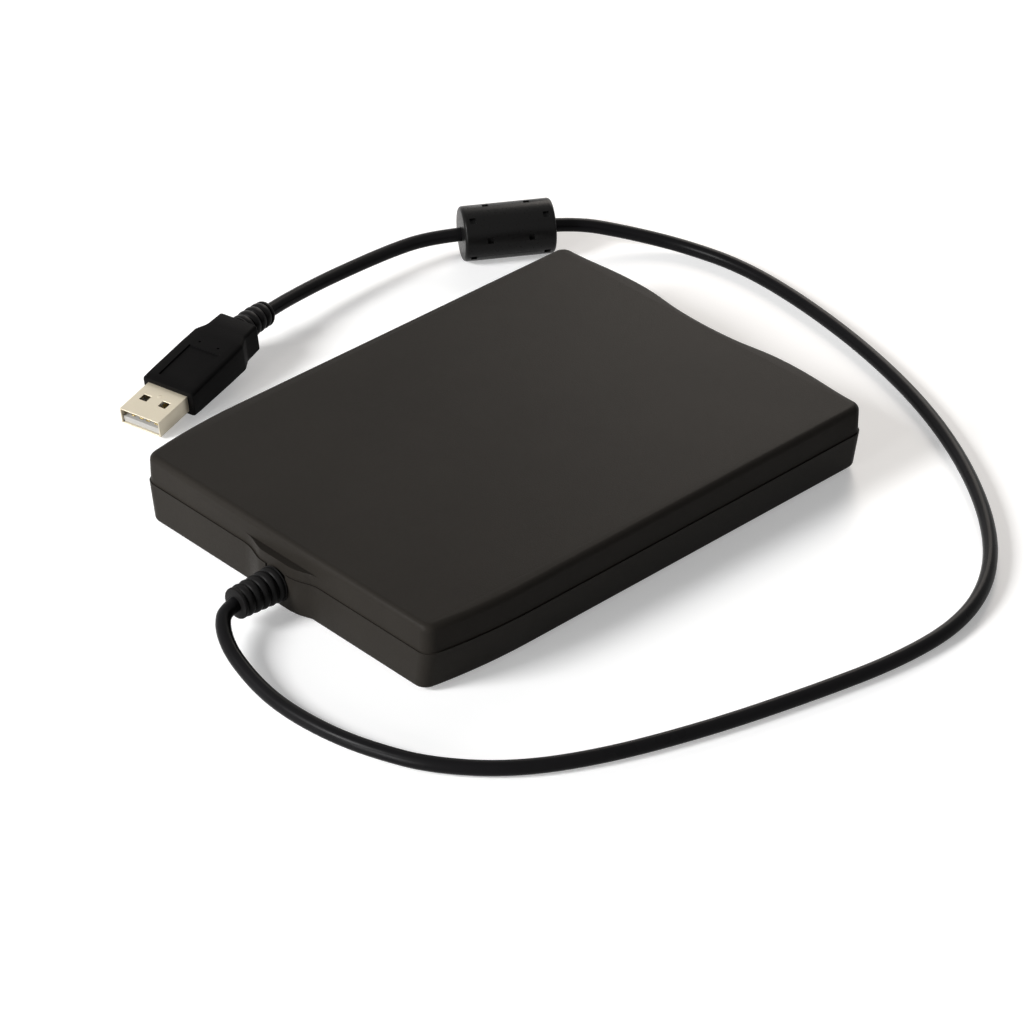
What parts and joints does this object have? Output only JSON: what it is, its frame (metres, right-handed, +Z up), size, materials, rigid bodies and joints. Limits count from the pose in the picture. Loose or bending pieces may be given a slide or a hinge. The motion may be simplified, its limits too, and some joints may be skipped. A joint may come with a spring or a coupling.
{
  "type": "external floppy disk drive",
  "caption": "Flat black external drive for 3.5 inch disks with a captive USB lead, a ferrite and an A plug.",
  "frame": {"origin": "centre of the case outline on the table that the feet stand on", "axes": "+Z up, -Y towards the disk slot, +Y towards the lead, +X to the right seen from the slot"},
  "size_m": [0.21, 0.2176, 0.0184],
  "materials": {
    "case_black": "fine spark-eroded texture, satin",
    "door_black": "satin",
    "button_black": "satin",
    "foot_rubber": "matte",
    "screw_steel": "zinc plated",
    "zinc_sheet": "zinc plated sheet",
    "shield_sheet": "tin plated sheet",
    "holder_steel": "stainless sheet",
    "slide_steel": "stainless sheet",
    "spring_steel": "drawn wire",
    "board_green": "solder mask",
    "chip_black": "moulded epoxy",
    "coil_copper": "enamelled wire",
    "bearing_brass": "sintered bronze",
    "rotor_steel": "nickel plated",
    "magnet_dark": "bonded magnet",
    "ground_steel": "ground",
    "lever_white": "acetal",
    "carriage_grey": "glass filled",
    "head_ceramic": "lapped ceramic",
    "arm_steel": "stainless sheet",
    "motor_can": "plated can",
    "lamp_green": "tinted epoxy",
    "lens_clear": "clear",
    "ribbon_film": "film",
    "wire_red": "insulation",
    "boot_black": "satin",
    "cord_black": "satin",
    "ferrite_shell": "satin",
    "ferrite_grey": "sintered",
    "plug_nickel": "nickel plated",
    "tongue_white": "moulded",
    "contact_gold": "gold flash",
    "plug_black": "satin"
  },
  "bodies": {
    "root": {"board_chips": "chip_black", "board_screws": "screw_steel", "bridge_chip": "chip_black", "case_screws": "screw_steel", "chassis": "zinc_sheet", "cord_boot": "boot_black", "cord_header": "lever_white", "cord_main": "cord_black", "cord_plug_end": "cord_black", "cord_wires": "wire_red", "crystal": "motor_can", "drive_led": "lamp_green", "drive_screws": "screw_steel", "ferrite_core": "ferrite_grey", "ferrite_cover": "ferrite_shell", "flap_pin": "ground_steel", "flap_springs": "spring_steel", "guide_rod": "ground_steel", "led_lens": "lens_clear", "lower_case": "case_black", "main_board": "board_green", "motor_bracket": "zinc_sheet", "plug_boot": "boot_black", "plug_contacts": "contact_gold", "plug_grip": "plug_black", "plug_shell": "plug_nickel", "plug_tongue": "tongue_white", "ribbon_cable": "ribbon_film", "ribbon_connectors": "lever_white", "rod_clamps": "zinc_sheet", "rubber_feet": "foot_rubber", "side_rail": "zinc_sheet", "slide_springs": "spring_steel", "spindle_bearing": "bearing_brass", "stator_coils": "coil_copper", "stepper_motor": "motor_can", "switch_bodies": "chip_black", "top_shield": "shield_sheet", "track_zero_sensor": "chip_black", "trigger_pivot": "ground_steel", "upper_cover": "case_black", "usb_board": "board_green"},
    "holder": {"disk_holder": "holder_steel"},
    "ejector": {"slide_plate": "slide_steel", "eject_button": "button_black"},
    "spindle": {"spindle_rotor": "rotor_steel", "rotor_magnet": "magnet_dark", "spindle_hub": "rotor_steel", "spindle_shaft": "ground_steel", "drive_pin": "ground_steel"},
    "trigger": {"trigger_lever": "lever_white"},
    "flap": {"door_flap": "door_black"},
    "carriage": {"head_carriage": "carriage_grey", "lower_head": "head_ceramic", "arm_pin": "ground_steel"},
    "head_arm": {"upper_head_arm": "arm_steel", "upper_head": "head_ceramic"},
    "screw": {"lead_screw": "ground_steel"},
    "disk_switch": {"disk_in_plunger": "lever_white"},
    "protect_switch": {"write_protect_plunger": "lever_white"}
  },
  "joints": [
    {"name": "eject_slide", "type": "slide", "parent": "root", "child": "ejector", "axis": [0, -1, 0], "range_m": [0, 0.004]},
    {"name": "holder_drop", "type": "slide", "parent": "root", "child": "holder", "axis": [0, 0, -1], "range_m": [0, 0.0018]},
    {"name": "carriage_seek", "type": "slide", "parent": "root", "child": "carriage", "axis": [0, -1, 0], "range_m": [0, 0.0148]},
    {"name": "head_load", "type": "hinge", "parent": "carriage", "child": "head_arm", "pos_m": [0, 0.0462, 0.0114], "axis": [1, 0, 0], "range_deg": [0, 10]},
    {"name": "screw_turn", "type": "hinge", "parent": "root", "child": "screw", "pos_m": [0.0205, 0.0391, 0.006], "axis": [0, 1, 0], "range_deg": [0, 1421.8]},
    {"name": "spindle_spin", "type": "hinge", "parent": "root", "child": "spindle", "pos_m": [0, -0.017, 0.0067], "axis": [0, 0, 1], "continuous": true},
    {"name": "trigger_swing", "type": "hinge", "parent": "root", "child": "trigger", "pos_m": [-0.033, 0.039, 0.0094], "axis": [0, 0, 1], "range_deg": [0, 38], "stiffness_Nm_per_rad": 0.002},
    {"name": "flap_swing", "type": "hinge", "parent": "root", "child": "flap", "pos_m": [0, -0.0654, 0.0145], "axis": [-1, 0, 0], "range_deg": [-80, 0], "stiffness_Nm_per_rad": 0.001},
    {"name": "disk_switch_press", "type": "slide", "parent": "root", "child": "disk_switch", "axis": [0, 0, -1], "range_m": [0, 0.0008], "stiffness_N_per_m": 50},
    {"name": "protect_switch_press", "type": "slide", "parent": "root", "child": "protect_switch", "axis": [0, 0, -1], "range_m": [0, 0.0008], "stiffness_N_per_m": 50}
  ],
  "couplings": [
    {"joint": "holder_drop", "follows": "eject_slide", "ratio": 0.45},
    {"joint": "head_load", "follows": "eject_slide", "rad_per_m": 43.633},
    {"joint": "screw_turn", "follows": "carriage_seek", "rad_per_m": 1675.5}
  ]
}
